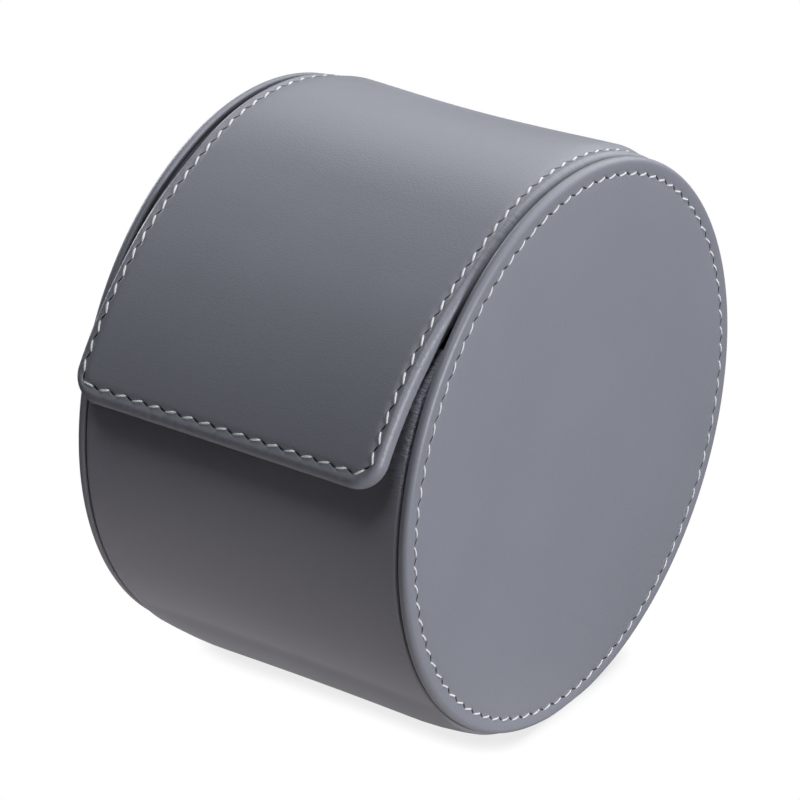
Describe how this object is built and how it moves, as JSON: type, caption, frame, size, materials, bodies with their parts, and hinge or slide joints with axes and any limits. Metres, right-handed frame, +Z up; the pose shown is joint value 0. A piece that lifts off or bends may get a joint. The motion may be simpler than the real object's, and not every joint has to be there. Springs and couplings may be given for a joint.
{
  "type": "watch travel case",
  "caption": "Round leather travel case for one watch, with padded stitched end caps, a magnetic flap hinged at the rear and a removable cushion.",
  "frame": {"origin": "on the surface that the case rests on, below the middle of the barrel's axis", "axes": "+X along the barrel's axis, the flap opens towards -Y and is hinged at the rear, +Z up"},
  "size_m": [0.066, 0.0999, 0.0943],
  "materials": {
    "grey_leather": "fine grain, matt",
    "grey_suede": "short nap",
    "fibre_board": "raw",
    "foam": "raw",
    "nickel": "plated"
  },
  "bodies": {
    "case": {"barrel_board": "fibre_board", "barrel_leather": "grey_leather", "barrel_lining": "grey_suede", "barrel_magnets": "nickel", "left_cap_board": "fibre_board", "left_cap_pad": "foam", "left_cap_leather": "grey_leather", "left_cap_lining": "grey_suede", "right_cap_board": "fibre_board", "right_cap_pad": "foam", "right_cap_leather": "grey_leather", "right_cap_lining": "grey_suede", "fold_leather": "grey_leather", "fold_lining": "grey_suede"},
    "flap": {"flap_board": "fibre_board", "flap_leather": "grey_leather", "flap_lining": "grey_suede", "flap_magnets": "nickel"},
    "cushion": {"cushion_core": "foam", "cushion_cover": "grey_suede", "cushion_left_panel": "grey_suede", "cushion_right_panel": "grey_suede", "cushion_left_piping": "grey_leather", "cushion_right_piping": "grey_leather"}
  },
  "joints": [
    {"name": "flap_hinge", "type": "hinge", "parent": "case", "child": "flap", "pos_m": [0, 0.03295, 0.07977], "axis": [-1, 0, 0], "range_deg": [0, 125], "deforming": ["fold_leather", "fold_lining"]},
    {"name": "cushion_lift", "type": "slide", "parent": "case", "child": "cushion", "axis": [0, -0.03, 0.9995], "range_m": [0, 0.09]}
  ],
  "couplings": [
    {"joint": "cushion_lift", "follows": "flap_hinge", "m_per_rad": 0.0411}
  ]
}
